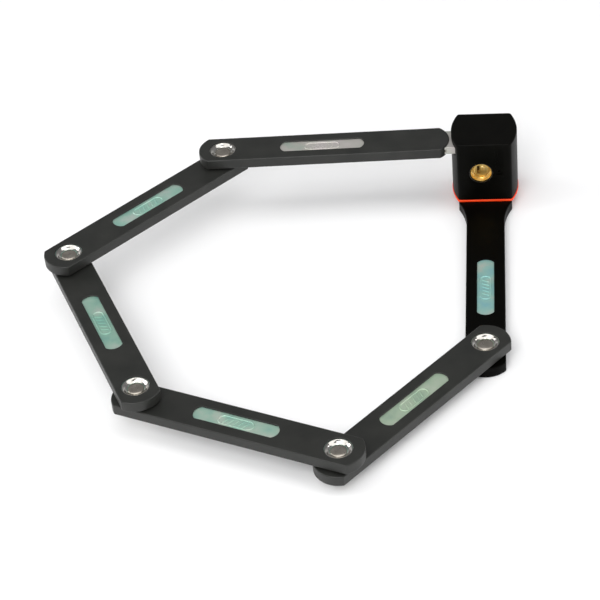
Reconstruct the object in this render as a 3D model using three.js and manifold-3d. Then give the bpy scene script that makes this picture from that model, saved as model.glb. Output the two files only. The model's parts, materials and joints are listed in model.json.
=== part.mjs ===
// Folding bike lock: five covered steel bars riveted in a chain to a lock head.
// Millimetres, +Z up. The origin is the middle of the flat underside below the lock head,
// the keyhole faces -Y, and the chain of bars closes a ring on the -X side of the arm.
import * as THREE from 'three';
import { mergeVertices } from 'three/addons/utils/BufferGeometryUtils.js';
import Module from 'manifold-3d';

const wasm = await Module();
wasm.setup();

// ---- driving dimensions -------------------------------------------------------------

const PITCH = 140; // distance between the two pivots of a bar
const LEVEL = 9.0; // height step from one link of the stack to the next
const ARM_LENGTH = 180.3; // head centre to the first pivot
const HEADINGS = [230.25, 159.06, 115.28, 46.23, 2.28]; // direction of each bar in the closed ring, degrees
const LOOSE = 0.25; // play between a steel plate and the soft cover around it
const BIG = 200; // longer than anything that is cut
const PAST = 1; // how far a cut runs past the face it opens
const SPLIT = 0.05; // gap between two pieces that are screwed or welded face to face
const ROUND = 18; // sides of a round piece
const SMALL = 12; // sides of a small round piece

const cover = { halfWidth: 13.2, endRadius: 16.8, height: 7.6, edge: 0.9, pivotHole: 9.1 };
const plate = { halfWidth: 10, endRadius: 13.6, bottom: 1.05, thickness: 5.5, rivetHole: 4.25 };
const countersink = { mouth: 8.95, floor: 5.95, depth: 2.0 };
const pane = { middle: 70, armMiddle: 67.3, straight: 53, halfWidth: 5.7, endRadius: 6.9 }; // cover window
const badge = { length: 25, width: 8.4, band: 1.0, height: 0.4, root: 0.3 };
const neck = { halfWidth: 18.6, end: 18.8, filletStart: 42, cornerRadius: 3 };
const tongue = { coverEnd: 142.3, root: 118, noseRoot: 158, tip: 176, cornerRadius: 2.5 };
const channel = { start: 148.3, end: 157, depth: 2.0, height: 2.5 }; // along both edges of the tongue
const lockHole = { reach: 168.5, radius: 3.6 };

const rivet = { shank: 4.0, head: 5.3, rim: 0.4, rise: 0.9, seat: 0.05, steps: 3 };
const spacer = { inner: 4.6, outer: 8.6, gap: 0.15 };

const head = { halfWidth: 23, halfDepth: 19, flat: 18.5, bottom: 9.5, top: 56.8, edge: 0.9 };
const shell = { wall: 2.0, roof: 2.3, gap: 0.3 };
const gasket = { bottom: 7.75, top: 9.35, lip: 0.35, edge: 0.3 };
const plinth = { halfX: 15, halfY: 13, bottom: 6.75 };
const socket = { low: 45.6, high: 52.0, play: 1.1, flare: 2.0, outer: 138.3, inner: 177.3 };
const faceGroove = { x: 10.1, low: 30.9, high: 53.2, width: 5.2, depth: 0.7 };
const faceRail = { width: 2.2, depth: 1.4, inset: 2.0 };

const cylinder = { x: -2.5, z: 32.6, radius: 7.4, bore: 5.6, front: -18.2, back: 4.6 };
const funnel = { mouth: 7.1, throat: 6.6, depth: 1.8, end: 2.4, lip: 0.3 }; // in the cylinder's front
const trim = { inner: 7.65, outer: 8.3, front: -19.15, back: -17.0, gap: 0.2 };
const pin = { y: -6, radius: 1.5, low: 14, gap: 0.3 };
const plug = { radius: 5.4, chamber: 4.1, front: -15.6, chamberFront: -13.3, back: 4.8 };
const keyway = { x: -1.9, width: 1.8, low: -2.2, high: 3.7, discHalf: 1.9 };
const boss = { x: 1.1, z: 2.4, radius: 1.4, foot: 1.7, out: 0.8, root: 0.5 };
const disc = { radius: 3.8, thickness: 2.4, pitch: 2.8, first: -13.0, count: 5 };
const cam = { radius: 6, front: 5.3, back: 7.3, stem: 3.8, stemFront: 2.3, throw: 4 };
const crank = { radius: 1.2, start: 6.3, end: 11.2 }; // the cam's off-centre pin
const bolt = { radius: 2.6, top: 45.2, bottom: 26.3, play: 0.4 };
const fork = { halfHeight: 3.4, past: 2.2, front: 7.8, back: 10.8, cut: 1 };
const chamber = { front: 5, back: 12, bore: 6, boreGap: 0.3, side: 1 };
const screw = { x: 9, y: 8, headRadius: 3.2, shank: 1.8, bottom: 1.15, coneTop: 2.7, end: 15.4, gap: 0.3 };

const colours = {
  soft: { color: 0x383a38, roughness: 0.62, metalness: 0 },
  softArm: { color: 0x151413, roughness: 0.5, metalness: 0 },
  softHead: { color: 0x1c1b18, roughness: 0.5, metalness: 0 },
  zinc: { color: 0xa5c3b0, roughness: 0.35, metalness: 0.9 },
  chrome: { color: 0xd8d8d8, roughness: 0.12, metalness: 1 },
  steel: { color: 0xa9a49b, roughness: 0.35, metalness: 1 },
  brass: { color: 0xc9a24a, roughness: 0.3, metalness: 1 },
  seam: { color: 0xff4a14, roughness: 0.5, metalness: 0 },
  washer: { color: 0x2a2a2a, roughness: 0.6, metalness: 0 },
};

// ---- small tools --------------------------------------------------------------------

function solid(geometry) {
  const bare = geometry.clone();
  bare.deleteAttribute('normal');
  bare.deleteAttribute('uv');
  const merged = mergeVertices(bare, 1e-4);
  return new wasm.Manifold(new wasm.Mesh({
    numProp: 3,
    vertProperties: new Float32Array(merged.attributes.position.array),
    triVerts: new Uint32Array(merged.index.array),
  }));
}

function geometryOf(body) {
  const mesh = body.getMesh();
  const geometry = new THREE.BufferGeometry();
  geometry.setAttribute('position', new THREE.BufferAttribute(mesh.vertProperties.slice(), 3));
  geometry.setIndex(new THREE.BufferAttribute(mesh.triVerts.slice(), 1));
  geometry.computeVertexNormals();
  return geometry;
}

// A slab of the given outline from z = low to z = high, with its edges bevelled by edge.
function slab(shape, low, high, edge = 0, curveSegments = 3) {
  const geometry = new THREE.ExtrudeGeometry(shape, {
    depth: high - low - 2 * edge,
    curveSegments,
    bevelEnabled: edge > 0,
    bevelThickness: edge,
    bevelSize: edge,
    bevelOffset: -edge,
    bevelSegments: 1,
  });
  geometry.translate(0, 0, low + edge);
  return solid(geometry);
}

function box(x, y, z) {
  const geometry = new THREE.BoxGeometry(x[1] - x[0], y[1] - y[0], z[1] - z[0]);
  geometry.translate((x[0] + x[1]) / 2, (y[0] + y[1]) / 2, (z[0] + z[1]) / 2);
  return solid(geometry);
}

// A solid of revolution about the vertical line through (x, y); profile is [radius, z] pairs.
function turned(profile, x = 0, y = 0, segments = ROUND) {
  const geometry = new THREE.LatheGeometry(profile.map(([r, z]) => new THREE.Vector2(r, z)), segments);
  geometry.rotateX(Math.PI / 2);
  geometry.translate(x, y, 0);
  return solid(geometry);
}

function rod(radius, low, high, x = 0, y = 0, segments = ROUND) {
  return turned([[0, low], [radius, low], [radius, high], [0, high]], x, y, segments);
}

// The same, about the key cylinder's axis, which runs along +Y; profile is [radius, y] pairs.
function turnedAlongY(profile, segments = ROUND) {
  const geometry = new THREE.LatheGeometry(profile.map(([r, y]) => new THREE.Vector2(r, y)), segments);
  geometry.translate(cylinder.x, 0, cylinder.z);
  return solid(geometry);
}

function rodAlongY(radius, front, back, segments = ROUND) {
  return turnedAlongY([[0, front], [radius, front], [radius, back], [0, back]], segments);
}

const group = new THREE.Group();

function add(name, body, look, parent = group) {
  const mesh = new THREE.Mesh(geometryOf(body), new THREE.MeshStandardMaterial(look));
  mesh.name = name;
  parent.add(mesh);
  return mesh;
}

// ---- outlines -----------------------------------------------------------------------

// A straight bar from x = 0 to x = length whose ends are arcs a little wider than its sides.
function barOutline(length, halfWidth, endRadius) {
  const half = Math.asin(halfWidth / endRadius);
  const shape = new THREE.Shape();
  shape.absarc(length, 0, endRadius, -half, half, false);
  shape.absarc(0, 0, endRadius, Math.PI - half, Math.PI + half, false);
  shape.closePath();
  return shape;
}

// The same with a straight tongue in place of the far end.
function tongueOutline(tip, halfWidth, endRadius, corner) {
  const half = Math.asin(halfWidth / endRadius);
  const shape = new THREE.Shape();
  shape.absarc(tip - corner, -halfWidth + corner, corner, -Math.PI / 2, 0, false);
  shape.absarc(tip - corner, halfWidth - corner, corner, 0, Math.PI / 2, false);
  shape.absarc(0, 0, endRadius, Math.PI - half, Math.PI + half, false);
  shape.closePath();
  return shape;
}

// The arm: a bar that flares in two hollow fillets to the neck under the lock head.
function armOutline(inset) {
  const side = cover.halfWidth - inset;
  const wide = neck.halfWidth - inset;
  const radius = cover.endRadius - inset;
  const half = Math.asin(side / radius);
  const start = -neck.filletStart;
  const run = neck.filletStart - head.halfDepth;
  const step = wide - side;
  const fillet = (run * run + step * step) / (2 * step);
  const turn = Math.asin(run / fillet);
  const back = neck.end - inset;
  const corner = neck.cornerRadius;
  const shape = new THREE.Shape();
  shape.absarc(0, -ARM_LENGTH, radius, -Math.PI / 2 - half, -Math.PI / 2 + half, false);
  shape.absarc(side + fillet, start, fillet, Math.PI, Math.PI - turn, true);
  shape.absarc(wide - corner, back - corner, corner, 0, Math.PI / 2, false);
  shape.absarc(corner - wide, back - corner, corner, Math.PI / 2, Math.PI, false);
  shape.absarc(-side - fillet, start, fillet, turn, 0, true);
  shape.closePath();
  return shape;
}

// The lock head in plan: flats at the front and back, shallow arcs at the sides.
function headOutline(inset) {
  const bulge = head.halfWidth - head.flat;
  const radius = (head.halfDepth * head.halfDepth + bulge * bulge) / (2 * bulge);
  const centre = head.halfWidth - radius;
  const depth = head.halfDepth - inset;
  const half = Math.asin(depth / (radius - inset));
  const shape = new THREE.Shape();
  shape.absarc(centre, 0, radius - inset, -half, half, false);
  shape.absarc(-centre, 0, radius - inset, Math.PI - half, Math.PI + half, false);
  shape.closePath();
  return shape;
}

// A long window with bulged ends, centred on (x, y) and running along the bar.
function paneOutline(x, halfLength, halfWidth, endRadius) {
  const half = Math.asin(halfWidth / endRadius);
  const reach = halfLength - endRadius * Math.cos(half);
  const shape = new THREE.Shape();
  shape.absarc(x + reach, 0, endRadius, -half, half, false);
  shape.absarc(x - reach, 0, endRadius, Math.PI - half, Math.PI + half, false);
  shape.closePath();
  return shape;
}

// An oval with half-round ends.
function ovalOutline(x, length, width) {
  const radius = width / 2;
  const reach = length / 2 - radius;
  const shape = new THREE.Shape();
  shape.absarc(x + reach, 0, radius, -Math.PI / 2, Math.PI / 2, false);
  shape.absarc(x - reach, 0, radius, Math.PI / 2, 1.5 * Math.PI, false);
  shape.closePath();
  return shape;
}

// ---- links --------------------------------------------------------------------------

const plateTop = plate.bottom + plate.thickness;

function paneCut(x) {
  const outline = paneOutline(x, pane.straight / 2, pane.halfWidth, pane.endRadius);
  return slab(outline, plateTop - LOOSE, cover.height + PAST);
}

function badgeRing(x) {
  const rim = ovalOutline(x, badge.length, badge.width);
  const outside = slab(rim, plateTop - badge.root, plateTop + badge.height);
  const hole = ovalOutline(x, badge.length - 2 * badge.band, badge.width - 2 * badge.band);
  return outside.subtract(slab(hole, plateTop - PAST, plateTop + PAST));
}

// A rivet hole through a plate, countersunk from above or from below.
function rivetCut(x, y, side) {
  const face = side > 0 ? plateTop : plate.bottom;
  const floor = face - side * countersink.depth;
  const ends = side > 0 ? [plate.bottom - PAST, face + PAST] : [plateTop + PAST, face - PAST];
  const profile = [
    [0, ends[0]],
    [plate.rivetHole, ends[0]],
    [plate.rivetHole, floor],
    [countersink.floor, floor],
    [countersink.mouth, face],
    [countersink.mouth, ends[1]],
    [0, ends[1]],
  ];
  return turned(side > 0 ? profile : profile.reverse(), x, y);
}

function coverAround(outside, cavity, pivots) {
  let body = outside.subtract(cavity);
  for (const [x, y] of pivots) {
    body = body.subtract(rod(cover.pivotHole, -PAST, cover.height + PAST, x, y));
  }
  return body;
}

const cavityLow = plate.bottom - LOOSE;
const cavityHigh = plateTop + LOOSE;

function barCover(length, cavityOutline, pivots) {
  const outside = slab(barOutline(length, cover.halfWidth, cover.endRadius), 0, cover.height, cover.edge, 4);
  const cavity = slab(cavityOutline, cavityLow, cavityHigh);
  return coverAround(outside, cavity, pivots).subtract(paneCut(pane.middle));
}

function placedBar(index, pivot) {
  const holder = new THREE.Group();
  holder.position.set(pivot.x, pivot.y, LEVEL * index);
  holder.rotation.z = THREE.MathUtils.degToRad(HEADINGS[index - 1]);
  group.add(holder);
  return holder;
}

function makeMiddleBar(index, pivot) {
  const holder = placedBar(index, pivot);
  const loose = barOutline(PITCH, plate.halfWidth + LOOSE, plate.endRadius + LOOSE);
  add(`bar_${index}_cover`, barCover(PITCH, loose, [[0, 0], [PITCH, 0]]), colours.soft, holder);
  const steel = slab(barOutline(PITCH, plate.halfWidth, plate.endRadius), plate.bottom, plateTop)
    .subtract(rivetCut(0, 0, 1))
    .subtract(rivetCut(PITCH, 0, -1))
    .add(badgeRing(pane.middle));
  add(`bar_${index}_plate`, steel, colours.zinc, holder);
}

function tongueChannel(side) {
  const middle = plate.bottom + plate.thickness / 2;
  const edge = plate.halfWidth - channel.depth;
  const y = side > 0 ? [edge, plate.halfWidth + PAST] : [-plate.halfWidth - PAST, -edge];
  const z = [middle - channel.height / 2, middle + channel.height / 2];
  return box([channel.start, channel.end], y, z);
}

function makeLastBar(index, pivot) {
  const holder = placedBar(index, pivot);
  const loose = tongueOutline(BIG, plate.halfWidth + LOOSE, plate.endRadius + LOOSE, tongue.cornerRadius);
  add(`bar_${index}_cover`, barCover(tongue.coverEnd, loose, [[0, 0]]), colours.soft, holder);
  const outline = tongueOutline(tongue.tip, plate.halfWidth, plate.endRadius, tongue.cornerRadius);
  const steel = slab(outline, plate.bottom, plateTop)
    .subtract(rivetCut(0, 0, 1))
    .subtract(tongueChannel(1))
    .subtract(tongueChannel(-1))
    .subtract(rod(lockHole.radius, 0, cover.height, lockHole.reach, 0))
    .add(badgeRing(pane.middle));
  const outer = box([tongue.root, BIG], [-BIG, BIG], [-BIG, BIG]);
  const nose = box([tongue.noseRoot, BIG], [-BIG, BIG], [-BIG, BIG]);
  const blade = steel.intersect(outer).subtract(nose.translate([-SPLIT, 0, 0]));
  add(`bar_${index}_plate`, steel.subtract(outer.translate([-SPLIT, 0, 0])), colours.zinc, holder);
  add('tongue', blade, colours.zinc, holder);
  add('tongue_nose', steel.intersect(nose), colours.zinc, holder);
}

function turnedToArm(body) {
  return body.rotate([0, 0, 90]).translate([0, -ARM_LENGTH, 0]);
}

function makeArm() {
  const y = -ARM_LENGTH;
  const opening = box(
    [-plinth.halfX - LOOSE, plinth.halfX + LOOSE],
    [-plinth.halfY - LOOSE, plinth.halfY + LOOSE],
    [plateTop - LOOSE, cover.height + PAST],
  );
  const outside = slab(armOutline(0), 0, cover.height, cover.edge, 4);
  const cavity = slab(armOutline(cover.halfWidth - plate.halfWidth - LOOSE), cavityLow, cavityHigh, 0, 4);
  const skin = coverAround(outside, cavity, [[0, y]])
    .subtract(opening)
    .subtract(turnedToArm(paneCut(pane.armMiddle)));
  add('arm_cover', skin, colours.softArm);
  let steel = slab(armOutline(cover.halfWidth - plate.halfWidth), plate.bottom, plateTop, 0, 4)
    .subtract(rivetCut(0, y, -1))
    .add(turnedToArm(badgeRing(pane.armMiddle)));
  for (const [x, yScrew] of screwPlaces()) {
    steel = steel.subtract(turned([
      [0, 0],
      [screw.headRadius + screw.gap, 0],
      [screw.headRadius + screw.gap, screw.bottom],
      [screw.shank + screw.gap, screw.coneTop],
      [screw.shank + screw.gap, plateTop + PAST],
      [0, plateTop + PAST],
    ], x, yScrew, SMALL));
  }
  add('arm_plate', steel, colours.zinc);
}

// ---- pivots -------------------------------------------------------------------------

// One side of a rivet's dome, from its rim to the axis; floor is the countersink's floor.
function dome(floor, side) {
  const rim = floor + side * rivet.rim;
  const points = [[rivet.head, floor + side * rivet.seat]];
  for (let i = 0; i <= rivet.steps; i += 1) {
    const angle = (i / rivet.steps) * (Math.PI / 2);
    points.push([rivet.head * Math.cos(angle), rim + side * rivet.rise * Math.sin(angle)]);
  }
  points[points.length - 1][0] = 0;
  return points;
}

function rivetBody(pivot, lowBase, highBase) {
  const lowFloor = lowBase + plate.bottom + countersink.depth;
  const highFloor = highBase + plateTop - countersink.depth;
  const profile = [
    ...dome(lowFloor, -1).reverse(),
    [rivet.shank, lowFloor - rivet.seat],
    [rivet.shank, highFloor + rivet.seat],
    ...dome(highFloor, 1),
  ];
  return turned(profile, pivot.x, pivot.y);
}

// The dished cup around a rivet head, sunk below the cover's face; its profile is [radius, height]
// above the plate's outer face, and side points outwards.
const cupProfile = [
  [5.95, -1.75],
  [8.65, -0.05],
  [8.85, 0.1],
  [8.85, 0.25],
  [8.5, 0.35],
  [7.85, 0.0],
  [5.65, -1.4],
  [5.95, -1.75],
];

function cupBody(pivot, face, side) {
  const profile = cupProfile.map(([r, z]) => [r, face + side * z]);
  return turned(side > 0 ? profile : profile.reverse(), pivot.x, pivot.y);
}

function spacerBody(pivot, low, high) {
  const profile = [
    [spacer.inner, low],
    [spacer.outer, low],
    [spacer.outer, high],
    [spacer.inner, high],
    [spacer.inner, low],
  ];
  return turned(profile, pivot.x, pivot.y);
}

function makePivot(number, pivot) {
  const low = LEVEL * (number - 1);
  const high = LEVEL * number;
  add(`rivet_${number}`, rivetBody(pivot, low, high), colours.steel);
  add(`rivet_${number}_top_cup`, cupBody(pivot, high + plateTop, 1), colours.chrome);
  add(`rivet_${number}_bottom_cup`, cupBody(pivot, low + plate.bottom, -1), colours.chrome);
  const between = spacerBody(pivot, low + plateTop + spacer.gap, high + plate.bottom - spacer.gap);
  add(`spacer_${number}`, between, colours.washer);
}

// ---- lock head ----------------------------------------------------------------------

// The socket that the tongue slides into, a little wider at its mouth; it lies along the last bar.
function socketCut(pivot) {
  const side = plate.halfWidth + socket.play;
  const mouth = side + socket.flare;
  const shape = new THREE.Shape();
  shape.moveTo(socket.outer, -mouth);
  shape.lineTo(socket.inner, -side);
  shape.lineTo(socket.inner, side);
  shape.lineTo(socket.outer, mouth);
  shape.closePath();
  return slab(shape, socket.low, socket.high)
    .rotate([0, 0, HEADINGS[4]])
    .translate([pivot.x, pivot.y, 0]);
}

function boltPlace(pivot) {
  const heading = THREE.MathUtils.degToRad(HEADINGS[4]);
  return new THREE.Vector2(
    pivot.x + lockHole.reach * Math.cos(heading),
    pivot.y + lockHole.reach * Math.sin(heading),
  );
}

function screwPlaces() {
  return [[1, -1], [-1, -1], [-1, 1], [1, 1]].map(([a, b]) => [a * screw.x, b * screw.y]);
}

const crankX = cylinder.x - cam.throw * Math.SQRT1_2;
const crankZ = cylinder.z - cam.throw * Math.SQRT1_2;
const boltTravel = 2 * cam.throw * Math.SQRT1_2;

// The bolt stands behind the cylinder, and its fork reaches across to the cam's pin.
function boltBody(at) {
  const z = [crankZ - fork.halfHeight, crankZ + fork.halfHeight];
  const reach = box([at.x - bolt.radius, crankX + fork.past], [fork.front, fork.back], z);
  const bridge = box([at.x - bolt.radius, at.x + bolt.radius], [at.y, fork.back], z);
  const half = crank.radius + bolt.play;
  const slot = box(
    [cylinder.x - cam.throw - half, BIG],
    [fork.front - fork.cut, fork.back + fork.cut],
    [crankZ - half, crankZ + half],
  );
  return rod(bolt.radius, bolt.bottom, bolt.top, at.x, at.y).add(bridge).add(reach).subtract(slot);
}

function pinHole(low, high) {
  return rod(pin.radius + pin.gap, low, high, cylinder.x, pin.y, SMALL);
}

function headBody(at, pivot) {
  const low = crankZ - fork.halfHeight - bolt.play;
  const high = crankZ + fork.halfHeight + boltTravel + bolt.play;
  const side = bolt.radius + bolt.play;
  const y = [chamber.front, chamber.back];
  const room = box([at.x - side, cylinder.x + cam.radius + chamber.side], y, [low, high]);
  const way = box([at.x - side, at.x + side], [at.y, chamber.back], [low, high]);
  const foot = [plinth.bottom, head.bottom + PAST];
  let body = slab(headOutline(shell.wall + shell.gap), head.bottom, head.top - shell.roof - shell.gap)
    .add(box([-plinth.halfX, plinth.halfX], [-plinth.halfY, plinth.halfY], foot))
    .subtract(rodAlongY(cylinder.radius + chamber.boreGap, -BIG, chamber.bore))
    .subtract(room)
    .subtract(way)
    .subtract(rod(side, low, socket.low + PAST, at.x, at.y))
    .subtract(pinHole(0, cylinder.z))
    .subtract(socketCut(pivot));
  for (const [x, yScrew] of screwPlaces()) {
    body = body.subtract(rod(screw.shank + screw.gap, 0, screw.end + PAST, x, yScrew, SMALL));
  }
  return body;
}

function frontCut(width, depth, low, high) {
  const x = [faceGroove.x - width / 2, faceGroove.x + width / 2];
  return box(x, [-BIG, depth - head.halfDepth], [low, high]);
}

// The part of a body between two heights.
function layer(body, low, high) {
  return body.intersect(box([-BIG, BIG], [-BIG, BIG], [low, high]));
}

function headShell(pivot) {
  const { low, high } = faceGroove;
  return slab(headOutline(0), head.bottom, head.top, head.edge, 6)
    .subtract(slab(headOutline(shell.wall), 0, head.top - shell.roof))
    .subtract(rodAlongY(trim.outer + trim.gap, -BIG, 0))
    .subtract(frontCut(faceGroove.width, faceGroove.depth, low, high))
    .subtract(frontCut(faceRail.width, faceRail.depth, low + faceRail.inset, high - faceRail.inset))
    .subtract(socketCut(pivot));
}

function seamGasket() {
  const hole = box(
    [-plinth.halfX - LOOSE, plinth.halfX + LOOSE],
    [-plinth.halfY - LOOSE, plinth.halfY + LOOSE],
    [0, head.bottom + PAST],
  );
  return slab(headOutline(-gasket.lip), gasket.bottom, gasket.top, gasket.edge, 6).subtract(hole);
}

function housingBody() {
  const { radius, bore, front, back } = cylinder;
  return turnedAlongY([
    [bore, back],
    [bore, front + funnel.end],
    [bore + funnel.lip, front + funnel.depth],
    [funnel.throat, front + funnel.depth],
    [funnel.mouth, front],
    [radius, front + funnel.lip],
    [radius, back],
    [bore, back],
  ]).subtract(pinHole(0, cylinder.z - bore - pin.gap));
}

// The slit that the key enters, between two depths and two heights measured from the cylinder's axis.
function keySlit(y, low, high) {
  const x = cylinder.x + keyway.x;
  const half = keyway.width / 2;
  return box([x - half, x + half], y, [cylinder.z + low, cylinder.z + high]);
}

// The plug turns in the housing; its front wall carries the keyway and a small round boss.
function plugBody() {
  const { radius, front, chamberFront, back } = plug;
  const stud = new THREE.CylinderGeometry(boss.foot, boss.radius, boss.out + boss.root, SMALL);
  stud.translate(cylinder.x + boss.x, front + (boss.root - boss.out) / 2, cylinder.z + boss.z);
  return rodAlongY(radius, front, back)
    .subtract(rodAlongY(plug.chamber, chamberFront, back + PAST))
    .subtract(keySlit([front - PAST, chamberFront + PAST], keyway.low, keyway.high))
    .add(solid(stud));
}

function discBody(index) {
  const front = disc.first + disc.pitch * index;
  const back = front + disc.thickness;
  return rodAlongY(disc.radius, front, back)
    .subtract(keySlit([front - PAST, back + PAST], -keyway.discHalf, keyway.discHalf));
}

function camBody() {
  const stud = new THREE.CylinderGeometry(crank.radius, crank.radius, crank.end - crank.start, SMALL);
  stud.translate(crankX, (crank.end + crank.start) / 2, crankZ);
  return turnedAlongY([
    [0, cam.stemFront],
    [cam.stem, cam.stemFront],
    [cam.stem, cam.front],
    [cam.radius, cam.front],
    [cam.radius, cam.back],
    [0, cam.back],
  ]).add(solid(stud));
}

function trimBody() {
  const { inner, outer, front, back } = trim;
  return turnedAlongY([[inner, front], [outer, front], [outer, back], [inner, back], [inner, front]]);
}

function pinBody() {
  return rod(pin.radius, pin.low, cylinder.z - cylinder.bore - 2 * pin.gap, cylinder.x, pin.y, SMALL);
}

function screwBody(x, y) {
  return turned([
    [0, screw.bottom],
    [screw.headRadius, screw.bottom],
    [screw.shank, screw.coneTop],
    [screw.shank, screw.end],
    [0, screw.end],
  ], x, y, SMALL);
}

function makeHead(pivot) {
  const at = boltPlace(pivot);
  const block = headBody(at, pivot);
  add('head_body', layer(block, 0, socket.low), colours.steel);
  add('socket_frame', layer(block, socket.low + SPLIT, socket.high - SPLIT), colours.steel);
  add('head_cap', layer(block, socket.high, head.top), colours.steel);
  add('head_cover', headShell(pivot), colours.softHead);
  add('seam_gasket', seamGasket(), colours.seam);
  add('cylinder_housing', housingBody(), colours.brass);
  add('cylinder_trim', trimBody(), colours.steel);
  add('cylinder_pin', pinBody(), colours.steel);
  add('key_plug', plugBody(), colours.brass);
  for (let i = 0; i < disc.count; i += 1) {
    add(`lock_disc_${i + 1}`, discBody(i), colours.brass);
  }
  add('plug_cam', camBody(), colours.steel);
  add('locking_bolt', boltBody(at), colours.steel);
  screwPlaces().forEach(([x, y], i) => add(`head_screw_${i + 1}`, screwBody(x, y), colours.steel));
}

// ---- assembly -----------------------------------------------------------------------

const pivots = [new THREE.Vector2(0, -ARM_LENGTH)];
for (const heading of HEADINGS.slice(0, 4)) {
  const angle = THREE.MathUtils.degToRad(heading);
  const last = pivots[pivots.length - 1];
  pivots.push(new THREE.Vector2(last.x + PITCH * Math.cos(angle), last.y + PITCH * Math.sin(angle)));
}

makeArm();
for (let index = 1; index <= 4; index += 1) {
  makeMiddleBar(index, pivots[index - 1]);
}
makeLastBar(5, pivots[4]);
pivots.forEach((pivot, i) => makePivot(i + 1, pivot));
makeHead(pivots[4]);

export default group;
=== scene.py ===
# The looks of a folding bike lock: five covered steel bars riveted in a chain to a lock head.
# Lengths are in millimetres and each mesh is scaled to metres when it is made. The camera, the lights
# and the textures are set in metres.
import json
import math

import bmesh
import bpy
from mathutils import Matrix, Vector
from mathutils.geometry import tessellate_polygon


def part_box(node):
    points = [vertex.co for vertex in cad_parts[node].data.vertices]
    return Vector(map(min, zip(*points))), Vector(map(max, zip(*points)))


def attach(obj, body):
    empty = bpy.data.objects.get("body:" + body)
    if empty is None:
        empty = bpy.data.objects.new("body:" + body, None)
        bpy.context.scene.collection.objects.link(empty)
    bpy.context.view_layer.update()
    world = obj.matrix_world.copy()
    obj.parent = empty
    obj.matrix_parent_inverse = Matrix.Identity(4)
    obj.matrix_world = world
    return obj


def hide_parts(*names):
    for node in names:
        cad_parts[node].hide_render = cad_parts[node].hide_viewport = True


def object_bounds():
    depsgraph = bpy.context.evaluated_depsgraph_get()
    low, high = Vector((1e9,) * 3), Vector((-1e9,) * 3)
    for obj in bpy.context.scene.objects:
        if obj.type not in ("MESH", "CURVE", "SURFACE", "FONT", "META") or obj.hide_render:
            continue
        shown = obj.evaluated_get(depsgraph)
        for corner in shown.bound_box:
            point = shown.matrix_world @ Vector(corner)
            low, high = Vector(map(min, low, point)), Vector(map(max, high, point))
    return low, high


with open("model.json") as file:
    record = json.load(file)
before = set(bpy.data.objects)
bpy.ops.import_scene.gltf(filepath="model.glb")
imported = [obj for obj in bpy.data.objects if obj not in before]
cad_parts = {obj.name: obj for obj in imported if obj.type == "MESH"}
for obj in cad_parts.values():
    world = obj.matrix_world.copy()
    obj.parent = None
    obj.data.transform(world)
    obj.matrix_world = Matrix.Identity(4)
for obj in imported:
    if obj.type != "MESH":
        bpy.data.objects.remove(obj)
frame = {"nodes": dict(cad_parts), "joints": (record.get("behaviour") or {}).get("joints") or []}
cad_box = [list(corner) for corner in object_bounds()]

MM = 0.001
FULL = 2 * math.pi
RIGHT = math.pi / 2
FAR = 30.0  # past every face that a cutter has to clear

# ---- sizes of the lock ----------------------------------------------------------------

PITCH = 140.0  # between the two pivots of a bar
PLAY = 0.25  # between a steel plate and the cover around it
COVER = {"half_width": 13.2, "end_radius": 16.8, "height": 7.6, "edge": 0.7, "hole": 9.1, "corner": 0.95}
PLATE = {"half_width": 10.0, "end_radius": 13.6, "low": 1.05, "high": 6.55, "hole": 4.25, "corner": 1.0}
SINK = {"mouth": 8.95, "floor": 5.95, "depth": 2.0}
PANE = {"middle": 70.0, "half_length": 26.5, "half_width": 5.7, "end_radius": 6.9, "corner": 0.9}
ARM_PANE = 67.3
OVAL = {"length": 25.0, "width": 8.4, "band": 1.0, "height": 0.4}
NECK = {"half_width": 18.6, "end": 18.8, "fillet": 42.0, "corner": 3.0}
TONGUE = {"cover_end": 142.3, "tip": 176.0, "corner": 2.5}
EDGE_GROOVE = {"start": 148.3, "end": 157.0, "depth": 2.0, "height": 2.5}
LOCK_HOLE = {"reach": 168.5, "radius": 3.6}
BOLT_RADIUS = 2.6
HEAD = {"half_width": 23.0, "half_depth": 19.0, "flat": 18.5, "low": 9.5, "high": 56.8, "edge": 0.9}
SHELL = {"wall": 2.0, "roof": 2.3, "corner": 2.0}
SEAM = {"low": 7.75, "high": 9.35, "lip": 0.35, "edge": 0.35}
PLINTH = {"x": 15.25, "y": 13.25}
SOCKET = {"low": 45.6, "high": 52.0, "side": 11.1, "flare": 2.0, "inner": 177.3, "start": 138.3}
GROOVE = {"x": 10.1, "low": 30.9, "high": 53.2, "width": 5.2, "depth": 0.7}
RAIL = {"width": 2.2, "depth": 1.4, "short": 2.0}
CYLINDER = {"x": -2.5, "z": 32.6, "radius": 7.4, "bore": 5.6, "front": -18.2, "back": 4.6, "hole": 8.5}
FUNNEL = {"mouth": 7.1, "throat": 6.6, "depth": 1.8, "end": 2.4}
TRIM = {"inner": 7.65, "outer": 8.3, "front": -19.15, "back": -17.0}
PLUG = {"radius": 5.4, "chamber": 4.1, "front": -15.6, "chamber_front": -13.3, "back": 4.8}
KEYWAY = {"x": -1.9, "width": 1.8, "low": -2.2, "high": 3.7}
SEAT = 0.05  # between a rivet's head and the floor of its countersink
RIVET = {"head": 5.3, "shank": 4.0, "rim": 0.4, "rise": 0.9}
WASHER = {"inner": 4.6, "outer": 8.6, "edge": 0.2}
BOSS = {"x": 1.1, "z": 2.4, "radius": 1.7, "out": 0.8}

# ---- camera ---------------------------------------------------------------------------

EYE = Vector((0.0241, -1.2898, 0.9743))
YAW, PITCH_DOWN, ROLL = (math.radians(a) for a in (-7.28, 39.43, -5.76))
LENS = 135.3


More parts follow.
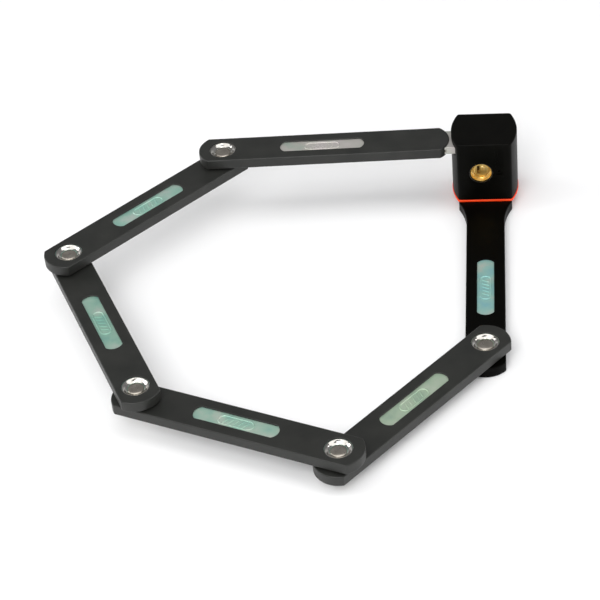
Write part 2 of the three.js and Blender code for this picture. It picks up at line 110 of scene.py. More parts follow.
def add_camera():
    forward = Vector((
        math.sin(YAW) * math.cos(PITCH_DOWN),
        math.cos(YAW) * math.cos(PITCH_DOWN),
        -math.sin(PITCH_DOWN),
    ))
    level = Vector((math.cos(YAW), -math.sin(YAW), 0))
    above = level.cross(forward)
    right = math.cos(ROLL) * level + math.sin(ROLL) * above
    up = math.cos(ROLL) * above - math.sin(ROLL) * level
    data = bpy.data.cameras.new("camera")
    data.lens = LENS
    data.sensor_width = 36
    data.clip_end = 50
    camera = bpy.data.objects.new("camera", data)
    bpy.context.scene.collection.objects.link(camera)
    camera.matrix_world = Matrix.Translation(EYE) @ Matrix((right, up, -forward)).transposed().to_4x4()
    bpy.context.scene.camera = camera


# ---- outlines: chains of arcs, joined by straight lines --------------------------------


def trace(arcs, inset=0.0):
    """The points of an outline moved inwards by inset. Each arc is (x, y, radius, start, end, steps)."""
    points = []
    for x, y, radius, start, end, steps in arcs:
        reach = radius - inset if end > start else radius + inset
        for i in range(steps + 1):
            angle = start + (end - start) * i / steps
            points.append((x + reach * math.cos(angle), y + reach * math.sin(angle)))
    return points


def bar_end(x, half_width, end_radius, corner, steps=22):
    """The arc at the far end of a bar, with a small round where it meets each side."""
    lift = half_width - corner
    run = math.sqrt((end_radius - corner) ** 2 - lift ** 2)
    turn = math.atan2(lift, run)
    return [
        (x + run, -lift, corner, -RIGHT, -turn, 4),
        (x, 0, end_radius, -turn, turn, steps),
        (x + run, lift, corner, turn, RIGHT, 4),
    ]


def turned_half(arcs):
    """The same arcs turned half a turn about the origin."""
    return [(-x, -y, radius, start + math.pi, end + math.pi, n) for x, y, radius, start, end, n in arcs]


def shifted(arcs, x, y=0.0):
    return [(cx + x, cy + y, radius, start, end, n) for cx, cy, radius, start, end, n in arcs]


def bar_outline(length, half_width, end_radius, corner):
    far = bar_end(length, half_width, end_radius, corner)
    return far + turned_half(bar_end(0, half_width, end_radius, corner))


def tongue_outline(tip, half_width, end_radius, corner):
    far = [
        (tip - TONGUE["corner"], TONGUE["corner"] - half_width, TONGUE["corner"], -RIGHT, 0, 6),
        (tip - TONGUE["corner"], half_width - TONGUE["corner"], TONGUE["corner"], 0, RIGHT, 6),
    ]
    return far + turned_half(bar_end(0, half_width, end_radius, corner))


def window(x):
    """A cover's window, with bulged ends, centred on x."""
    half_width, end_radius = PANE["half_width"], PANE["end_radius"]
    reach = PANE["half_length"] - math.sqrt(end_radius ** 2 - half_width ** 2)
    far = bar_end(reach, half_width, end_radius, PANE["corner"], 14)
    return shifted(far + turned_half(far), x)


def oval(x, length, width):
    radius = width / 2
    far = [(length / 2 - radius, 0, radius, -RIGHT, RIGHT, 20)]
    return shifted(far + turned_half(far), x)


def circle(x, y, radius, steps=64):
    return [(x, y, radius, 0, FULL * (steps - 1) / steps, steps - 1)]


def rectangle(x, y, corner, centre=(0, 0)):
    across, deep = x - corner, y - corner
    quarter = [(across, deep), (-across, deep), (-across, -deep), (across, -deep)]
    arcs = [(cx, cy, corner, i * RIGHT, (i + 1) * RIGHT, 4) for i, (cx, cy) in enumerate(quarter)]
    return shifted(arcs, *centre)


def arm_outline(half_width, end_radius, neck_half, neck_end, corner):
    """The arm, along +X from its pivot: a bar that flares in two hollow fillets to the neck."""
    length = arm_length
    run = NECK["fillet"] - HEAD["half_depth"]
    step = neck_half - half_width
    fillet = (run ** 2 + step ** 2) / (2 * step)
    turn = math.asin(run / fillet)
    start = length - NECK["fillet"]
    tip = length + neck_end
    round_ = NECK["corner"]
    return [
        (start, -half_width - fillet, fillet, RIGHT, RIGHT - turn, 10),
        (tip - round_, round_ - neck_half, round_, -RIGHT, 0, 6),
        (tip - round_, neck_half - round_, round_, 0, RIGHT, 6),
        (start, half_width + fillet, fillet, turn - RIGHT, -RIGHT, 10),
    ] + turned_half(bar_end(0, half_width, end_radius, corner))


def head_outline(corner):
    """The lock head in plan: flats at the front and back, shallow arcs at the sides."""
    bulge = HEAD["half_width"] - HEAD["flat"]
    radius = (HEAD["half_depth"] ** 2 + bulge ** 2) / (2 * bulge)
    centre = HEAD["half_width"] - radius
    lift = HEAD["half_depth"] - corner
    run = math.sqrt((radius - corner) ** 2 - lift ** 2)
    turn = math.atan2(lift, run)
    far = [
        (centre + run, -lift, corner, -RIGHT, -turn, 6),
        (centre, 0, radius, -turn, turn, 24),
        (centre + run, lift, corner, turn, RIGHT, 6),
    ]
    return far + turned_half(far)


# ---- meshes ----------------------------------------------------------------------------


def rounded(low, high, edge, steps=5, support=0.12, top_edge=None):
    """(inset, z) pairs up the side of a slab whose lower and upper edges are rounded."""
    top = edge if top_edge is None else top_edge
    pairs = [(edge + support, low)]
    for i in range(steps + 1):
        angle = RIGHT * i / steps
        pairs.append((edge - edge * math.sin(angle), low + edge - edge * math.cos(angle)))
    pairs += [(0, low + edge + support), (0, high - top - support)]
    for i in range(steps + 1):
        angle = RIGHT * i / steps
        pairs.append((top - top * math.cos(angle), high - top + top * math.sin(angle)))
    return pairs + [(top + support, high)]


def rim(low, high, edge, steps=3, support=0.1):
    """(inset, z) pairs down the wall of a hole whose upper rim is rounded; insets are negative."""
    pairs = [(-edge - support, high)]
    for i in range(steps + 1):
        angle = RIGHT * i / steps
        pairs.append((-edge + edge * math.sin(angle), high - edge + edge * math.cos(angle)))
    return pairs + [(0, low)]


class Body:
    """A mesh made of rings of points and the walls and caps between them."""

    def __init__(self):
        self.mesh = bmesh.new()

    def ring(self, points, z):
        return [self.mesh.verts.new((x, y, z)) for x, y in points]

    def wall(self, first, second):
        count = len(first)
        for i in range(count):
            j = (i + 1) % count
            self.mesh.faces.new((first[i], first[j], second[j], second[i]))

    def rings(self, outline, pairs):
        made = [self.ring(trace(outline, inset), z) for inset, z in pairs]
        for first, second in zip(made, made[1:]):
            self.wall(first, second)
        return made

    def cap(self, outer, holes=()):
        loops = [outer, *holes]
        corners = [v for loop in loops for v in loop]
        for triangle in tessellate_polygon([[v.co for v in loop] for loop in loops]):
            self.mesh.faces.new([corners[i] for i in triangle])

    def revolve(self, profile, steps=64, closed=False):
        """Turns (radius, z) pairs about the Z axis; a radius of 0 is a pole."""
        rings = []
        for radius, z in profile:
            if radius == 0:
                rings.append([self.mesh.verts.new((0, 0, z))])
            else:
                rings.append(self.ring(trace(circle(0, 0, radius, steps)), z))
        pairs = list(zip(rings, rings[1:]))
        if closed:
            pairs.append((rings[-1], rings[0]))
        for first, second in pairs:
            if len(first) == 1 or len(second) == 1:
                pole, loop = (first[0], second) if len(first) == 1 else (second[0], first)
                for i in range(steps):
                    self.mesh.faces.new((pole, loop[i], loop[(i + 1) % steps]))
            else:
                self.wall(first, second)
        return self

    def made(self, name, place=Matrix.Identity(4)):
        """The mesh as an object, in metres, placed in the row frame."""
        bmesh.ops.recalc_face_normals(self.mesh, faces=self.mesh.faces)
        self.mesh.transform(place)
        self.mesh.transform(Matrix.Scale(MM, 4))
        data = bpy.data.meshes.new(name)
        self.mesh.to_mesh(data)
        self.mesh.free()
        piece = bpy.data.objects.new(name, data)
        bpy.context.scene.collection.objects.link(piece)
        return piece


def cut(piece, cutter):
    """Takes the cutter's space out of the piece and removes the cutter."""
    modifier = piece.modifiers.new("cut", "BOOLEAN")
    modifier.operation = "DIFFERENCE"
    modifier.solver = "EXACT"
    modifier.object = cutter
    apply_modifiers(piece)
    bpy.data.objects.remove(cutter)
    return piece


def apply_modifiers(piece):
    graph = bpy.context.evaluated_depsgraph_get()
    data = bpy.data.meshes.new_from_object(piece.evaluated_get(graph))
    piece.modifiers.clear()
    piece.data = data


def smooth(piece, degrees=32):
    piece.data.polygons.foreach_set("use_smooth", [True] * len(piece.data.polygons))
    piece.data.set_sharp_from_angle(angle=math.radians(degrees))
    return piece


def finished(piece, material, body, slot, *nodes):
    piece.data.materials.clear()
    piece.data.materials.append(material)
    smooth(piece)
    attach(piece, body)
    if nodes:
        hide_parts(*nodes)
    return piece


def slab(outline, pairs):
    body = Body()
    rings = body.rings(outline, pairs)
    body.cap(rings[0])
    body.cap(rings[-1])
    return body


def prism(outline, low, high):
    return slab(outline, [(0, low), (0, high)])


# ---- materials -------------------------------------------------------------------------


class Look:
    """A node material built around one Principled shader, in the piece's own space."""

    def __init__(self, name, **constants):
        self.material = bpy.data.materials.new(name)
        self.material.use_nodes = True
        self.tree = self.material.node_tree
        self.shader = self.tree.nodes["Principled BSDF"]
        for socket, value in constants.items():
            self.shader.inputs[socket.replace("_", " ")].default_value = value
        self.place = self.node("ShaderNodeTexCoord").outputs["Object"]
        self.height = None

    def node(self, kind, **settings):
        made = self.tree.nodes.new(kind)
        for key, value in settings.items():
            setattr(made, key, value)
        return made

    def link(self, source, target):
        self.tree.links.new(source, target)

    def noise(self, scale, detail):
        noise = self.node("ShaderNodeTexNoise")
        noise.inputs["Scale"].default_value = scale
        noise.inputs["Detail"].default_value = detail
        self.link(self.place, noise.inputs["Vector"])
        return noise.outputs["Fac"]

    def ramp(self, source, *stops):
        ramp = self.node("ShaderNodeValToRGB")
        elements = ramp.color_ramp.elements
        while len(elements) < len(stops):
            elements.new(0.5)
        for element, (position, colour) in zip(elements, stops):
            element.position = position
            element.color = (*colour, 1)
        self.link(source, ramp.inputs["Fac"])
        return ramp.outputs["Color"]

    def colour(self, source, *stops):
        self.link(self.ramp(source, *stops), self.shader.inputs["Base Color"])
        return self

    def roughness(self, source, low, high):
        spread = self.node("ShaderNodeMapRange")
        spread.inputs["To Min"].default_value = low
        spread.inputs["To Max"].default_value = high
        self.link(source, spread.inputs["Value"])
        self.link(spread.outputs["Result"], self.shader.inputs["Roughness"])
        return self

    def bump(self, source, strength, distance):
        bump = self.node("ShaderNodeBump")
        bump.inputs["Strength"].default_value = strength
        bump.inputs["Distance"].default_value = distance
        self.link(source, bump.inputs["Height"])
        if self.height is not None:
            self.link(self.height, bump.inputs["Normal"])
        self.height = bump.outputs["Normal"]
        self.link(self.height, self.shader.inputs["Normal"])
        return self


def moulded(name, dark, light, low, high, specular):
    """Soft-touch moulded plastic: fine eroded grain, faint mottling and handling marks."""
    look = Look(name, Specular_IOR_Level=specular)
    look.colour(look.noise(60, 4), (0.3, dark), (0.72, light))
    look.roughness(look.noise(35, 5), low, high)
    look.bump(look.noise(2600, 2), 0.25, 0.00012)
    look.bump(look.noise(240, 3), 0.12, 0.0001)
    return look.material


def zinc(name, dark, middle, light):
    """Zinc-plated steel with the pale green and rose tints of its passivation."""
    look = Look(name, Metallic=0.6)
    look.colour(look.noise(75, 3), (0.32, dark), (0.5, middle), (0.7, light))
    look.roughness(look.noise(160, 4), 0.34, 0.50)
    look.bump(look.noise(900, 3), 0.15, 0.0001)
    return look.material


def metal(name, dark, light, low, high):
    look = Look(name, Metallic=1.0)
    look.colour(look.noise(180, 3), (0.35, dark), (0.7, light))
    look.roughness(look.noise(220, 4), low, high)
    look.bump(look.noise(900, 3), 0.12, 0.00005)
    return look.material


def lathe_brass(name):
    """Brass turned on a lathe: fine rings about the cylinder's axis over a warm mottled colour."""
    look = Look(name, Metallic=0.78)
    dark, middle, light = (0.66, 0.38, 0.08), (0.82, 0.55, 0.16), (0.95, 0.74, 0.34)
    look.colour(look.noise(240, 3), (0.3, dark), (0.55, middle), (0.78, light))
    look.roughness(look.noise(300, 3), 0.22, 0.38)
    mapping = look.node("ShaderNodeMapping")
    mapping.inputs["Location"].default_value = (-CYLINDER["x"] * MM, 0, -CYLINDER["z"] * MM)
    look.link(look.place, mapping.inputs["Vector"])
    wave = look.node("ShaderNodeTexWave", wave_type="RINGS", rings_direction="Y")
    wave.inputs["Scale"].default_value = 900
    wave.inputs["Distortion"].default_value = 0.6
    look.link(mapping.outputs["Vector"], wave.inputs["Vector"])
    look.bump(wave.outputs["Fac"], 0.10, 0.00004)
    return look.material


def sealed(name):
    """The bright moulded seal between the head and the arm."""
    look = Look(name, Specular_IOR_Level=0.4)
    look.colour(look.noise(150, 3), (0.3, (0.96, 0.045, 0.003)), (0.7, (1.0, 0.075, 0.008)))
    look.roughness(look.noise(120, 3), 0.38, 0.52)
    look.bump(look.noise(1400, 2), 0.1, 0.00008)
    return look.material


cover_look = moulded("soft_cover", (0.0105, 0.0112, 0.0095), (0.0185, 0.0190, 0.0165), 0.40, 0.54, 0.46)
arm_look = moulded("arm_cover_plastic", (0.0007, 0.0007, 0.0004), (0.0016, 0.0015, 0.0010), 0.36, 0.48, 0.05)
head_look = moulded("head_plastic", (0.0008, 0.0008, 0.0004), (0.0022, 0.0020, 0.0013), 0.34, 0.46, 0.06)
zinc_looks = {
    "bar_1": zinc("zinc_1", (0.38, 0.52, 0.40), (0.47, 0.60, 0.45), (0.56, 0.64, 0.52)),
    "bar_2": zinc("zinc_2", (0.30, 0.53, 0.46), (0.41, 0.61, 0.50), (0.58, 0.64, 0.56)),
    "bar_3": zinc("zinc_3", (0.26, 0.50, 0.42), (0.36, 0.58, 0.47), (0.50, 0.62, 0.54)),
    "bar_4": zinc("zinc_4", (0.30, 0.56, 0.48), (0.38, 0.62, 0.52), (0.56, 0.66, 0.60)),
    "bar_5": zinc("zinc_5", (0.46, 0.53, 0.46), (0.58, 0.57, 0.52), (0.64, 0.60, 0.58)),
    "arm": zinc("zinc_arm", (0.30, 0.60, 0.62), (0.38, 0.66, 0.60), (0.60, 0.66, 0.58)),
}
cup_look = metal("polished_cup_steel", (0.55, 0.53, 0.49), (0.78, 0.76, 0.72), 0.08, 0.15)
rivet_look = metal("rivet_steel_satin", (0.46, 0.42, 0.36), (0.64, 0.59, 0.52), 0.22, 0.36)
steel_look = metal("machined_steel", (0.45, 0.44, 0.42), (0.60, 0.58, 0.55), 0.28, 0.42)
trim_look = metal("trim_steel", (0.035, 0.034, 0.030), (0.08, 0.077, 0.07), 0.16, 0.30)
brass_look = lathe_brass("turned_brass")
seam_look = sealed("seam_rubber")
washer_look = moulded("washer_plastic", (0.02, 0.02, 0.02), (0.035, 0.035, 0.034), 0.45, 0.6, 0.4)

# ---- where everything is ---------------------------------------------------------------

pivots = [Vector(joint["pos_m"]).xy / MM for joint in frame["joints"][:5]]
bolt_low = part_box("locking_bolt")[0] / MM
bolt_at = Vector((bolt_low.x + BOLT_RADIUS, bolt_low.y + BOLT_RADIUS))
arm_length = -pivots[0].y


def along(start, end, low):
    """The place of a link whose own X axis runs from start to end and whose underside is at low."""
    way = end - start
    turn = Matrix.Rotation(math.atan2(way.y, way.x), 4, "Z")
    return Matrix.Translation((start.x, start.y, low)) @ turn


def upright(pivot):
    return Matrix.Translation((pivot.x, pivot.y, 0))


cylinder_place = Matrix.Translation((CYLINDER["x"], 0, CYLINDER["z"])) @ Matrix.Rotation(-RIGHT, 4, "X")

# ---- links -----------------------------------------------------------------------------


def cover_body(outline, cavity, pivot_xs, pane, roof_holes=()):
    """A hollow cover: a window and the rivet holes open its top, the rivet holes its underside."""
    body = Body()
    height = COVER["height"]
    outside = body.rings(outline, rounded(0, height, COVER["edge"]))
    low, high = PLATE["low"] - PLAY, PLATE["high"] + PLAY
    circles = [circle(x, 0, COVER["hole"]) for x in pivot_xs]
    upper = [body.rings(hole, rim(high, height, 0.3)) for hole in [*circles, *roof_holes]]
    upper.append(body.rings(pane, rim(high, height, 0.4)))
    body.cap(outside[-1], [rings[0] for rings in upper])
    ceiling = body.ring(trace(cavity), high)
    body.cap(ceiling, [rings[-1] for rings in upper])
    floor = body.ring(trace(cavity), low)
    body.wall(ceiling, floor)
    downward = [(inset, height - z) for inset, z in rim(height - low, height, 0.3)]
    lower = [body.rings(hole, downward) for hole in circles]
    body.cap(floor, [rings[-1] for rings in lower])
    body.cap(outside[0], [rings[0] for rings in lower])
    return body


def plate_body(outline, holes, middle):
    """The steel in a cover. holes are (x, side), with the countersink above for side 1 and below for -1."""
    body = Body()
    low, high = PLATE["low"], PLATE["high"]
    outside = body.rings(outline, rounded(low, high, 0.25, 3, 0.1))
    tops, bottoms = [], []
    for x, side in holes:
        face, back = (high, low) if side > 0 else (low, high)
        floor = face - side * SINK["depth"]
        sink = [(SINK["mouth"], face), (SINK["floor"], floor)]
        steps = sink + [(PLATE["hole"], floor), (PLATE["hole"], back)]
        rings = body.rings(circle(x, 0, 0), [(-radius, z) for radius, z in steps])
        tops.append(rings[0] if side > 0 else rings[-1])
        bottoms.append(rings[-1] if side > 0 else rings[0])
    ring = oval(middle, OVAL["length"], OVAL["width"])
    top = high + OVAL["height"]
    band = OVAL["band"]
    outer_side = [(0.0, high), (0.12, top - 0.12), (0.3, top)]
    crown = outer_side + [(band - inset, z) for inset, z in reversed(outer_side)]
    badge = body.rings(ring, crown)
    body.cap(outside[-1], [*tops, badge[0]])
    rib_side = [(0, high), (0.08, top - 0.15), (0.22, top - 0.1)]
    ribs = [body.rings(rib, rib_side) for rib in slanted_ribs(middle)]
    for rings in ribs:
        body.cap(rings[-1])
    body.cap(badge[-1], [rings[0] for rings in ribs])
    body.cap(outside[0], bottoms)
    return body


def slanted_ribs(middle, count=5, spacing=3.5, half=2.0, lean=0.9, thick=0.55):
    """A plain row of slanted ribs, as grip marks inside the raised oval."""
    tilt = math.atan2(lean, half)
    ribs = []
    for k in range(count):
        x = middle + (k - (count - 1) / 2) * spacing
        lower, upper = (x - lean, -half), (x + lean, half)
        ribs.append([
            (*upper, thick, -tilt, math.pi - tilt, 6),
            (*lower, thick, math.pi - tilt, FULL - tilt, 6),
        ])
    return ribs


def middle_bar(index):
    start, end = pivots[index - 1], pivots[index]
    name, body = f"bar_{index}", f"bar_{index}"
    place = along(start, end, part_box(f"{name}_cover")[0].z / MM)
    outline = bar_outline(PITCH, COVER["half_width"], COVER["end_radius"], COVER["corner"])
    cavity = bar_outline(PITCH, PLATE["half_width"] + PLAY, PLATE["end_radius"] + PLAY, PLATE["corner"])
    pane = window(PANE["middle"])
    skin = cover_body(outline, cavity, (0, PITCH), pane).made(f"{name}_skin", place)
    finished(skin, cover_look, body, "bar_cover", f"{name}_cover")
    steel = bar_outline(PITCH, PLATE["half_width"], PLATE["end_radius"], PLATE["corner"])
    plate = plate_body(steel, [(0, 1), (PITCH, -1)], PANE["middle"]).made(f"{name}_steel", place)
    finished(plate, zinc_looks[name], body, "zinc_steel", f"{name}_plate")


def last_bar():
    place = along(pivots[4], bolt_at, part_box("bar_5_cover")[0].z / MM)
    end = TONGUE["cover_end"]
    outline = bar_outline(end, COVER["half_width"], COVER["end_radius"], COVER["corner"])
    half_width, end_radius = PLATE["half_width"] + PLAY, PLATE["end_radius"] + PLAY
    cavity = tongue_outline(end + 10, half_width, end_radius, PLATE["corner"])
    pane = window(PANE["middle"])
    skin = cover_body(outline, cavity, (0,), pane).made("bar_5_skin", place)
    mouth = rectangle(12, half_width, 0.4, (end + 16, 0))
    slit = prism(mouth, PLATE["low"] - PLAY, PLATE["high"] + PLAY).made("slit", place)
    finished(cut(skin, slit), cover_look, "bar_5", "bar_cover", "bar_5_cover")
    steel = tongue_outline(TONGUE["tip"], PLATE["half_width"], PLATE["end_radius"], PLATE["corner"])
    plate = plate_body(steel, [(0, 1)], PANE["middle"]).made("bar_5_steel", place)
    middle = (PLATE["low"] + PLATE["high"]) / 2
    half = EDGE_GROOVE["height"] / 2
    reach = (EDGE_GROOVE["end"] - EDGE_GROOVE["start"]) / 2
    for side in (-1, 1):
        y = side * (PLATE["half_width"] - EDGE_GROOVE["depth"] + 5)
        channel = rectangle(reach, 5, 0.5, (EDGE_GROOVE["start"] + reach, y))
        cut(plate, prism(channel, middle - half, middle + half).made("channel", place))
    hole = prism(circle(LOCK_HOLE["reach"], 0, LOCK_HOLE["radius"]), 0, COVER["height"]).made("hole", place)
    replaced = ("bar_5_plate", "tongue", "tongue_nose")
    finished(cut(plate, hole), zinc_looks["bar_5"], "bar_5", "zinc_steel", *replaced)


def arm():
    place = along(pivots[0], Vector((0, 0)), 0)
    inset = COVER["half_width"] - PLATE["half_width"]
    neck = NECK["half_width"]
    end = NECK["end"]
    outline = arm_outline(COVER["half_width"], COVER["end_radius"], neck, end, COVER["corner"])
    shrink = inset - PLAY
    half_width, end_radius = COVER["half_width"] - shrink, COVER["end_radius"] - shrink
    cavity = arm_outline(half_width, end_radius, neck - shrink, end - shrink, PLATE["corner"])
    steel = arm_outline(PLATE["half_width"], PLATE["end_radius"], neck - inset, end - inset, PLATE["corner"])
    pane = window(ARM_PANE)
    plinth = rectangle(PLINTH["y"], PLINTH["x"], 1.0, (arm_length, 0))
    skin = cover_body(outline, cavity, (0,), pane, [plinth]).made("arm_skin", place)
    finished(skin, arm_look, "lock_head", "head_shell", "arm_cover")
    plate = plate_body(steel, [(0, -1)], ARM_PANE).made("arm_steel", place)
    finished(plate, zinc_looks["arm"], "lock_head", "zinc_steel", "arm_plate")


# ---- pivots ----------------------------------------------------------------------------


def between(p, q, r, s, t):
    """A share t of the way from q to r, on a smooth curve from p to s."""
    square = (2 * p - 5 * q + 4 * r - s) * t ** 2
    cube = (3 * q - p - 3 * r + s) * t ** 3
    return 0.5 * (2 * q + (r - p) * t + square + cube)


def curve_points(points, steps):
    """The points with a smooth line through them."""
    ends = [points[0], *points, points[-1]]
    line = []
    for a, b, c, d in zip(ends, ends[1:], ends[2:], ends[3:]):
        for i in range(steps):
            t = i / steps
            line.append(tuple(between(*values, t) for values in zip(a, b, c, d)))
    return line + [points[-1]]


def cup_profile(face, side):
    """The dished cup, its rim sunk below the cover's face."""
    back = [(5.95, -1.75), (8.65, -0.05), (8.83, 0.08), (8.85, 0.2)]
    crest = [(8.82, 0.29), (8.7, 0.34), (8.5, 0.35), (8.3, 0.27)]
    dish = curve_points([(8.1, 0.14), (7.4, -0.33), (6.6, -0.95), (5.65, -1.4)], 5)
    return [(radius, face + side * z) for radius, z in back + crest + dish]


def dome_profile(floor, side):
    """From the rim of a rivet's head to its middle, outwards for side 1 and downwards for -1."""
    head, rim_height, steps = RIVET["head"], RIVET["rim"], 10
    points = [(head, floor + side * SEAT), (head, floor + side * (rim_height - 0.02))]
    for i in range(1, steps + 1):
        angle = RIGHT * i / steps
        radius = head * math.cos(angle) if i < steps else 0
        points.append((radius, floor + side * (rim_height + RIVET["rise"] * math.sin(angle))))
    return points


def pivot_set(number):
    pivot = pivots[number - 1]
    place = upright(pivot)
    upper, lower = f"bar_{number}", "lock_head" if number == 1 else f"bar_{number - 1}"
    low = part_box(f"{upper}_cover")[0].z / MM
    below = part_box("arm_cover" if number == 1 else f"{lower}_cover")[0].z / MM
    high_floor = low + PLATE["high"] - SINK["depth"]
    low_floor = below + PLATE["low"] + SINK["depth"]
    middle = [(RIVET["shank"], low_floor - SEAT), (RIVET["shank"], high_floor + SEAT)]
    shank = [*reversed(dome_profile(low_floor, -1)), *middle]
    rivet = Body().revolve(shank + dome_profile(high_floor, 1)).made(f"rivet_{number}_steel", place)
    finished(rivet, rivet_look, upper, "rivet_steel", f"rivet_{number}")
    top_cup = ("top", 1, low + PLATE["high"], upper)
    bottom_cup = ("bottom", -1, below + PLATE["low"], lower)
    for face, side, level, holder in (top_cup, bottom_cup):
        cup = Body().revolve(cup_profile(level, side), 72, closed=True)
        cup = cup.made(f"rivet_{number}_{face}_dish", place)
        finished(cup, cup_look, holder, "polished_cup", f"rivet_{number}_{face}_cup")
    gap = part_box(f"spacer_{number}")
    bottom, top = (corner.z / MM for corner in gap)
    inner, outer, edge = (WASHER[k] for k in ("inner", "outer", "edge"))
    ring = [(inner, bottom), (outer - edge, bottom), (outer, bottom + edge)]
    ring += [(outer, top - edge), (outer - edge, top), (inner, top)]
    washer = Body().revolve(ring, 64, closed=True).made(f"spacer_{number}_ring", place)
    finished(washer, washer_look, upper, "spacer_plastic", f"spacer_{number}")


# ---- lock head -------------------------------------------------------------------------


def socket_cutter(name):
    place = along(pivots[4], bolt_at, 0)
    low, high, side, flare = (SOCKET[k] for k in ("low", "high", "side", "flare"))
    body = Body()
    start, inner = SOCKET["start"], SOCKET["inner"]
    corners = [(start, -side - flare), (inner, -side), (inner, side), (start, side + flare)]
    first, second = body.ring(corners, low), body.ring(corners, high)
    body.wall(first, second)
    body.cap(first)
    body.cap(second)
    return body.made(name, place)


def along_y(outline, front, back):
    """A cutter that runs along Y, its outline given as (x, z)."""
    body = Body()
    first, second = body.ring(trace(outline), -back), body.ring(trace(outline), -front)
    body.wall(first, second)
    body.cap(first)
    body.cap(second)
    return body.made("cutter", Matrix.Rotation(RIGHT, 4, "X"))


def lock_head():
    body = Body()
    outline = head_outline(SHELL["corner"])
    low, high = HEAD["low"], HEAD["high"]
    outside = body.rings(outline, rounded(low, high, 0.3, 6, 0.15, HEAD["edge"]))
    inside = body.rings(outline, [(SHELL["wall"], low), (SHELL["wall"], high - SHELL["roof"])])
    body.cap(outside[0], [inside[0]])
    body.cap(outside[-1])
    body.cap(inside[-1])
    shell = body.made("head_shell")
    front = -HEAD["half_depth"]
    cut(shell, along_y(circle(CYLINDER["x"], CYLINDER["z"], CYLINDER["hole"], 72), -FAR, 0))
    middle = (GROOVE["low"] + GROOVE["high"]) / 2
    half = (GROOVE["high"] - GROOVE["low"]) / 2
    wide = rectangle(GROOVE["width"] / 2, half, 1.2, (GROOVE["x"], middle))
    narrow = rectangle(RAIL["width"] / 2, half - RAIL["short"], 0.8, (GROOVE["x"], middle))
    cut(shell, along_y(wide, -FAR, front + GROOVE["depth"]))
    cut(shell, along_y(narrow, -FAR, front + RAIL["depth"]))
    cut(shell, socket_cutter("socket"))
    finished(shell, head_look, "lock_head", "head_shell", "head_cover")


def seam():
    body = Body()
    outline = head_outline(SHELL["corner"])
    side = rounded(SEAM["low"], SEAM["high"], SEAM["edge"], 4, 0.1)
    grown = [(inset - SEAM["lip"], z) for inset, z in side]
    outside = body.rings(outline, grown)
    hole = rectangle(PLINTH["x"], PLINTH["y"], 1.0)
    inside = body.rings(hole, [(0, SEAM["low"]), (0, SEAM["high"])])
    body.cap(outside[0], [inside[0]])
    body.cap(outside[-1], [inside[-1]])
    finished(body.made("seam_ring"), seam_look, "lock_head", "seam_seal", "seam_gasket")


def key_cylinder():
    """The barrel and its trim ring. Profiles are (radius, distance along +Y); the front is the low end."""
    radius, bore, front, back = (CYLINDER[k] for k in ("radius", "bore", "front", "back"))
    mouth, throat, ledge = FUNNEL["mouth"], FUNNEL["throat"], front + FUNNEL["depth"]
    housing = [(bore, back), (bore, front + FUNNEL["end"])]
    housing += [(bore + 0.12, ledge + 0.15), (bore + 0.3, ledge), (throat - 0.12, ledge)]
    housing += [(throat, ledge - 0.08), (throat + 0.05, ledge - 0.25), (mouth, front + 0.12)]
    housing += [(mouth + 0.06, front + 0.03), (mouth + 0.16, front), (radius - 0.07, front + 0.05)]
    housing += [(radius, front + 0.2), (radius, back)]
    piece = Body().revolve(housing, 72, closed=True).made("cylinder_barrel", cylinder_place)
    finished(piece, brass_look, "lock_head", "brass", "cylinder_housing")
    inner, outer, low, high = (TRIM[k] for k in ("inner", "outer", "front", "back"))
    ring = [(inner, high), (inner, low + 0.3), (inner + 0.08, low + 0.08), (inner + 0.22, low)]
    ring += [(outer - 0.22, low), (outer - 0.08, low + 0.08), (outer, low + 0.3), (outer, high)]
    piece = Body().revolve(ring, 72, closed=True).made("cylinder_ring", cylinder_place)
    finished(piece, trim_look, "lock_head", "rivet_steel", "cylinder_trim")


def key_plug():
    radius, chamber, end = (PLUG[k] for k in ("radius", "chamber", "back"))
    face, floor = PLUG["front"], PLUG["chamber_front"]
    shape = [(0, face), (radius - 0.5, face), (radius - 0.15, face + 0.08)]
    shape += [(radius, face + 0.3), (radius, end)]
    shape += [(chamber, end), (chamber, floor), (0, floor)]
    plug = Body().revolve(shape, 64).made("key_plug_face", cylinder_place)
    x, z = CYLINDER["x"], CYLINDER["z"]
    low, high = KEYWAY["low"], KEYWAY["high"]
    slit = rectangle(KEYWAY["width"] / 2, (high - low) / 2, 0.3, (x + KEYWAY["x"], z + (high + low) / 2))
    cut(plug, along_y(slit, -FAR, floor + 2))
    finished(plug, brass_look, "key_plug", "brass", "key_plug")
    foot, crest = BOSS["radius"], face - BOSS["out"]
    dome = [(0, face + 0.3), (foot, face + 0.3), (foot - 0.05, face - 0.1)]
    slope = [(foot - 0.2, face - 0.35), (foot - 0.6, crest + 0.15), (foot - 1.1, crest + 0.02)]
    dome += curve_points(slope, 3)
    dome.append((0, crest))
    at = Matrix.Translation((BOSS["x"], 0, BOSS["z"])) @ cylinder_place
    finished(Body().revolve(dome, 32).made("key_plug_boss", at), brass_look, "key_plug", "brass")


def carried_over():
    """The inner parts keep their CAD shape and get their own metal."""
    steel = ["head_body", "socket_frame", "head_cap", "cylinder_pin", "plug_cam", "locking_bolt"]
    looks = {name: steel_look for name in steel}
    looks.update({f"lock_disc_{i}": brass_look for i in range(1, 6)})
    looks.update({f"head_screw_{i}": steel_look for i in range(1, 5)})
    for name, look in looks.items():
        for slot in frame["nodes"][name].material_slots:
            slot.material = look


# ---- studio ----------------------------------------------------------------------------


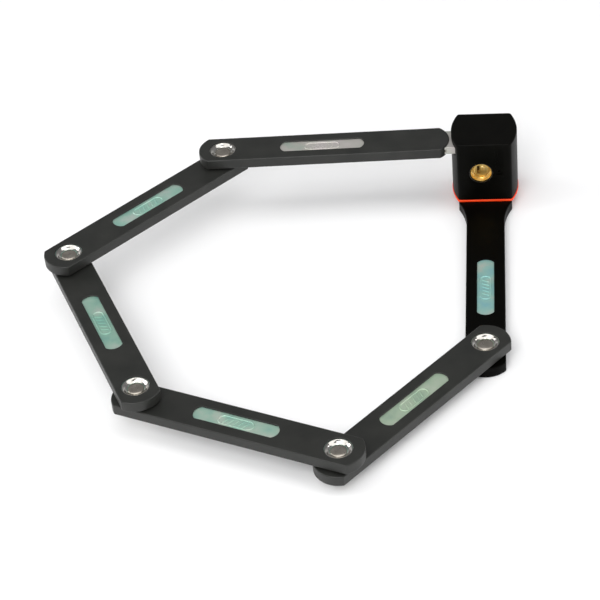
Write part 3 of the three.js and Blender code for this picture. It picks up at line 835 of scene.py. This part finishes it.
def studio():
    body = Body()
    reach = 6000
    body.cap(body.ring([(-reach, -reach), (reach, -reach), (reach, reach), (-reach, reach)], 0))
    floor = body.made("floor")
    look = Look("floor_paper", Specular_IOR_Level=0.1)
    look.colour(look.noise(3, 2), (0.2, (0.93, 0.93, 0.93)), (0.8, (0.95, 0.95, 0.95)))
    look.shader.inputs["Roughness"].default_value = 0.9
    floor.data.materials.append(look.material)
    floor.location.z = cad_box[0][2] - 0.0002
    world = bpy.data.worlds.new("studio")
    world.use_nodes = True
    nodes, links = world.node_tree.nodes, world.node_tree.links
    height = nodes.new("ShaderNodeSeparateXYZ")
    links.new(nodes.new("ShaderNodeTexCoord").outputs["Generated"], height.inputs["Vector"])
    ramp = nodes.new("ShaderNodeValToRGB")
    horizon, above = ramp.color_ramp.elements
    horizon.position, horizon.color = 0.02, (0.80, 0.81, 0.82, 1)
    above.position, above.color = 0.45, (0.22, 0.22, 0.225, 1)
    links.new(height.outputs["Z"], ramp.inputs["Fac"])
    links.new(ramp.outputs["Color"], nodes["Background"].inputs["Color"])
    bpy.context.scene.world = world
    area_light("overhead_left", (-1.2, -0.5, 3.0), 27, 1.9, 3.2)
    area_light("overhead_right", (1.2, -0.5, 3.0), 27, 1.9, 3.2)
    area_light("key", (-0.4, -1.7, 1.5), 30, 1.3, 1.3)
    area_light("left", (-1.9, 0.0, 0.8), 12, 1.2, 1.2)
    area_light("right", (1.9, -0.1, 0.8), 12, 1.2, 1.2)
    bpy.context.scene.view_settings.view_transform = "Standard"


def area_light(name, place, watts, width, depth):
    data = bpy.data.lights.new(name, "AREA")
    data.energy = watts
    data.shape = "RECTANGLE"
    data.size, data.size_y = width, depth
    light = bpy.data.objects.new(name, data)
    bpy.context.scene.collection.objects.link(light)
    light.location = place
    aim = Vector((-0.1, -0.15, 0.02)) - Vector(place)
    light.rotation_euler = aim.to_track_quat("-Z", "Y").to_euler()


add_camera()
arm()
for bar in range(1, 5):
    middle_bar(bar)
last_bar()
for rivet in range(1, 6):
    pivot_set(rivet)
lock_head()
seam()
key_cylinder()
key_plug()
carried_over()
studio()
